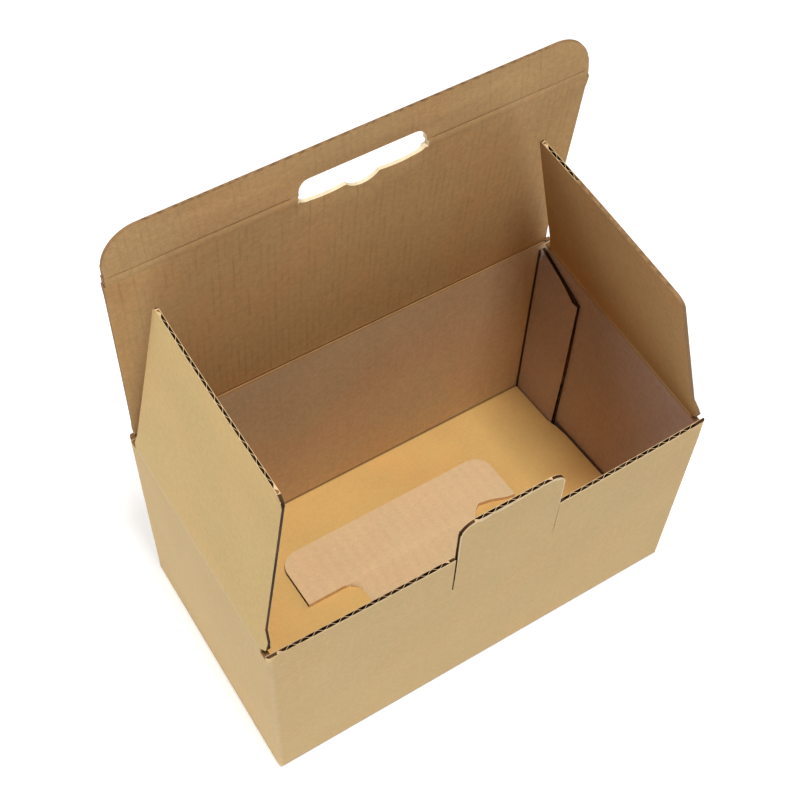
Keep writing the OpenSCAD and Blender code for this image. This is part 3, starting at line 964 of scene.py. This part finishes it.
# The hollow and deep edge colours are painted shade.
EDGE_PAPER, EDGE_CORE, EDGE_HOLLOW_SHADE = srgb(214, 184, 136), srgb(138, 101, 64), srgb(62, 39, 20)
EDGE_DEEP_SHADE, EDGE_WEB = srgb(50, 29, 11), srgb(222, 188, 146)
# The pale edge colour is partly a fresh cut and partly painted highlight.
EDGE_SHUT, EDGE_PALE_AND_HIGHLIGHT = srgb(150, 116, 78), srgb(236, 216, 180)
print("floor paper, linear:", [round(part, 3) for part in FLOOR_PAPER])

# %% Unevenness of the paper
FLUTE_TURN = 2 * math.pi / PITCH


def paper_marks(finish, across, along, panel):
    """Noises from coarse to fine about 0, masks of dark and pale flecks, a sine wave with the pitch of
    the flutes, shifted by a slow drift, and streaks at twice that pitch, broken by a long noise."""
    place = finish.vector(across, along, panel * 0.37)
    drawn = finish.vector(across * 260.0, along * 1500.0, panel)
    drift = finish.noise(finish.vector(across * 60.0, along * 25.0, panel), 1.0, detail=2.0) - 0.5
    long_noise = finish.noise(finish.vector(across * 220.0, along * 30.0, panel), 1.0, rough=0.65)
    streak = (across * (2 * FLUTE_TURN) + drift * 3.0).sine().step(0.35, 1.0)
    crossed = finish.vector(along, across, panel)
    return SimpleNamespace(
        patches=finish.noise(place, 10.0, detail=2.0) - 0.5,
        clouds=finish.noise(place, 30.0, detail=4.0) - 0.5,
        mottle=finish.noise(place, 420.0, rough=0.6) - 0.5,
        grain=finish.noise(place, 1100.0, detail=2.0, rough=0.6) - 0.5,
        fibres=finish.noise(drawn, 1.0, rough=0.6) - 0.5,
        flecks=finish.noise(place, 900.0, detail=1.0, rough=0.5).step(0.70, 0.78),
        pale=finish.noise(crossed, 700.0, detail=1.0, rough=0.5).step(0.72, 0.80),
        wave=(across * FLUTE_TURN + drift * 1.6).sine(),
        streak=streak * long_noise.step(0.40, 0.68),
    )


print("flutes per metre:", round(1 / PITCH))


# %% Cut edges
def edge_colour(finish, across, along, through, panel):
    """Paper at both faces of the board and the core between; marks on the faces then take over one by
    one."""
    liner = abs(through).step(half - LINER * 1.6, half - LINER * 0.8)
    crossed = finish.vector(along * 40.0, across * 40.0, panel)
    hollow = finish.noise(crossed, 1.0, detail=2.0).step(0.35, 0.6)
    # Painted shade: the core darkens on faces that turn from the light above.
    core = finish.mix(finish.attribute("side") * (0.75 + hollow * 0.25), EDGE_CORE, EDGE_HOLLOW_SHADE)
    core = finish.mix(finish.attribute("web"), core, EDGE_WEB)
    edge = finish.mix(liner, core, EDGE_PAPER)
    # The insides of open flute ends are painted near black as shade; the hand hole's edges pale, partly as
    # painted highlight.
    for name, colour in (("deep", EDGE_DEEP_SHADE), ("shut", EDGE_SHUT), ("hole", EDGE_PALE_AND_HIGHLIGHT)):
        edge = finish.mix(finish.attribute(name), edge, colour)
    return edge


print("paper takes up", round(2 * LINER / BOARD, 2), "of a cut edge")

# %% Board finish
BOARD_GLOSS, BUMP_STRENGTH, BUMP_DEPTH = 0.22, 0.35, 0.0001


def board_finish(name, lines, lining=INSIDE, streaks=0.03, cover=OUTSIDE):
    """Kraft board, with the colours of its inner and outer paper and the strength of its streaks.
    `lines` is a function that gives the masks of stretched fold lines and of fold lines of painted shade.
    The colour is that of the paper or the cut edge, times a tone that adds up the paper's marks."""
    finish = Finish(bpy.data.materials.new(name))
    across, along, through = finish.parts(finish.attribute("board", "Vector"))
    panel = finish.attribute("panel")
    inside, flat_floor, tongue = (finish.attribute(key) for key in ("inside", "floor", "tongue"))
    walls = inside - flat_floor - tongue
    marks = paper_marks(finish, across, along, panel)
    tone = 1.0 + marks.clouds * (0.12 + flat_floor * 0.14) + marks.patches * (0.12 + walls * 0.10)
    tone = tone + marks.fibres * 0.12 + marks.grain * (0.20 + walls * 0.16)
    tone = tone + marks.mottle * (0.22 + walls * 0.16 - (flat_floor + tongue) * 0.10)
    tone = tone - marks.flecks * 0.10 + marks.pale * 0.07
    tone = tone - marks.streak * (0.015 + walls * streaks) + tongue * marks.wave * 0.015
    paper = finish.mix(inside, cover, lining)
    # A greyer paper at the right end, painted for the cool light in its shade.
    paper = finish.mix(finish.attribute("right_end"), paper, RIGHT_WALL_IN_SHADE)
    paper = finish.mix(flat_floor, paper, FLOOR_PAPER)
    # Painted light: the tongue is paler than the floor.
    paper = finish.mix(tongue, paper, TONGUE_LIT_PAPER)
    warmth = finish.noise(finish.vector(along, across, panel * 0.53 + 4.0), 22.0)
    rosy = finish.node("ShaderNodeVectorMath", {"operation": "MULTIPLY"}, {0: paper, 1: ROSY})
    paper = finish.mix(warmth.step(0.40, 0.66) * (0.35 + inside * 0.35), paper, rosy)
    stretched, shaded = lines(finish, across, along)
    paper = finish.mix(stretched, paper, STRETCHED)
    # Painted shade in folds, gaps and crease grooves.
    paper = finish.mix(shaded, paper, SHADED)
    # A pale line of painted highlight along the front wall's top edge.
    paper = finish.mix(finish.attribute("rim").step(0.89, 0.95) * 0.85, paper, EDGE_PALE_AND_HIGHLIGHT)
    edge = edge_colour(finish, across, along, through, panel)
    finish.feed("Base Color", finish.scaled(finish.mix(finish.attribute("cut"), paper, edge), tone))
    finish.feed("Roughness", 0.82 + marks.grain * 0.2 - stretched * 0.08)
    finish.feed("Specular IOR Level", BOARD_GLOSS)
    height = marks.wave * 0.5 + marks.fibres * 0.35 + marks.grain * 0.5 + marks.clouds * 0.8
    bump = {"Strength": BUMP_STRENGTH, "Distance": BUMP_DEPTH, "Height": height}
    finish.feed("Normal", finish.node("ShaderNodeBump", {}, bump))
    return finish.owner


print("the paper's bumps are", BUMP_DEPTH * 1000, "mm deep")

# %% [markdown]
# Fold lines are masks. On a flap the paper is only a little stretched beside its creases. On the body
# they are the upright corners and the bottom edges, and three lines of painted shade: the fold of the
# glue flap at the back right corner, the fold of the floor at the back wall, and the gap between the
# floor's ends and the end walls.

# %% Fold lines
# Each line fades in from its first to its second distance, in metres.
FLAP_LINE, CORNER_LINE = (0.0046, 0.0022), (0.0028, 0.0008)
BOTTOM_LINE, BOTTOM_EDGE = (0.0026, 0.0010), (0.0035, 0.0015)
SEAM_LINE, SEAM_TOP = (0.0012, 0.0005), (0.1245, 0.1235)
FLOOR_LINE, END_LINE = (0.0010, 0.0003), (0.0013, 0.0007)
SHOULDER_LINE, CREASE_LINE = (0.0018, 0.0006), (0.00045, 0.0001)


def flap_lines(pale):
    """A pale band beside the flap's crease, and nothing shaded."""

    def lines(finish, across, along):
        return along.step(*FLAP_LINE) * pale, 0.0

    return lines


def body_lines(finish, across, along):
    """Each line is the distance from its corner, edge or plane, turned into a mask that is 1 on the
    line."""
    x, y, z = finish.parts(finish.node("ShaderNodeTexCoord", out="Object"))
    from_end, from_face = out_x - abs(x), out_y - abs(y)
    corner = from_end.most(from_face).step(*CORNER_LINE) * 0.75
    bottom = z.step(*BOTTOM_LINE) * from_end.least(from_face).step(*BOTTOM_EDGE) * 0.4
    # Painted shade: a dark line in the glue flap's inner fold, along the floor's fold at the back wall,
    # and in the gap between the floor's ends and the end walls.
    seam = abs(x - (in_x - BOARD)).most(abs(y - in_y)).step(*SEAM_LINE) * z.step(*SEAM_TOP)
    back_fold = abs(y - in_y).most(abs(z - BOARD) * 0.6).step(*FLOOR_LINE) * 0.6
    over_floor = z - (in_y - y) * FLOOR_SLOPE - BOARD
    by_end = (in_x - abs(x)).step(*END_LINE) * finish.attribute("inside")
    end_fold = by_end * over_floor.step(*FLOOR_LINE) * 0.4
    return corner.most(bottom), seam.most(back_fold).most(end_fold)


def crease_lines(pale, dark):
    """A thin line of painted shade in the crease's groove, between two pale shoulders."""

    def lines(finish, across, along):
        return abs(along).step(*SHOULDER_LINE) * pale, abs(along).step(*CREASE_LINE) * dark

    return lines


print("a crease is drawn", round(2000 * CREASE_LINE[0], 1), "mm wide")

# %% [markdown]
# ## Put the box together
# The panels come first, each with its own paper: the tuck flap and the right dust flap turn away from
# the light, and their papers are painted darker as shade; the left one catches it, and its outer paper
# is painted lighter as light. Then the creased paper closes the four folds that move.

# %% Dress the panels
mesh, points = lay_body()
mesh.materials.append(board_finish("kraft_body", body_lines, WALLS_IN_SHADE))
place_panel("box_body", mesh, bow_body(points), "body")

# Inner paper, strength of the pale band at the crease, strength of the streaks, outer paper.
PAPERS = {
    "lid_panel": (INSIDE, 0.05, 0.12, OUTSIDE),
    "tuck_flap": (TUCK_SHADED, 0.0, 0.07, OUTSIDE),
    "left_dust_flap": (INSIDE, 0.10, 0.03, LEFT_FLAP_LIT),
    "right_dust_flap": (RIGHT_FLAP_SHADED, 0.10, 0.03, OUTSIDE),
}
for node, spec in FLAPS.items():
    mesh, points = lay_flap(node)
    lining, pale, streaks, cover = PAPERS[node]
    mesh.materials.append(board_finish("kraft_" + node, flap_lines(pale), lining, streaks, cover))
    place_panel("box_" + node, mesh, BOWS[node](points) @ spec["lean"].T + hinges[node], node)

# %% Lay the creased paper
upright = np.eye(3)
lid_span, flap_span = (-0.1120, 0.1110), (-0.0578, 0.0573)
left_tuck, right_tuck = (-0.1135, -HOLE_END), (HOLE_END, 0.1101)
crease_paper(
    "box_lid_crease", "lid_panel", "X", upright, LID_LEAN,
    [(lid_span, 1, 1, 0.00015), (lid_span, -1, 1, 0.00030)],
    board_finish("kraft_lid_crease", crease_lines(pale=0.06, dark=0.60)))
crease_paper(
    "box_tuck_crease", "tuck_flap", "X", FLAPS["lid_panel"]["lean"], TUCK_LEAN - LID_LEAN,
    [(span, side, 1, 0.00003) for span in (left_tuck, right_tuck) for side in (1, -1)],
    board_finish("kraft_tuck_crease", crease_lines(pale=0.0, dark=0.03), TUCK_CREASE_SHADED), bell=0.0012)
crease_paper(
    "box_left_flap_crease", "left_dust_flap", "Y", upright, LEFT_LEAN,
    [(flap_span, -1, -1, 0.00012), (flap_span, 1, -1, 0.00030)],
    board_finish("kraft_left_flap_crease", crease_lines(pale=0.45, dark=0.0)))
crease_paper(
    "box_right_flap_crease", "right_dust_flap", "Y", upright, -RIGHT_LEAN,
    [(flap_span, 1, 1, 0.00012), (flap_span, -1, 1, 0.00020)],
    board_finish("kraft_right_flap_crease", crease_lines(pale=0.45, dark=0.0), RIGHT_FLAP_SHADED))
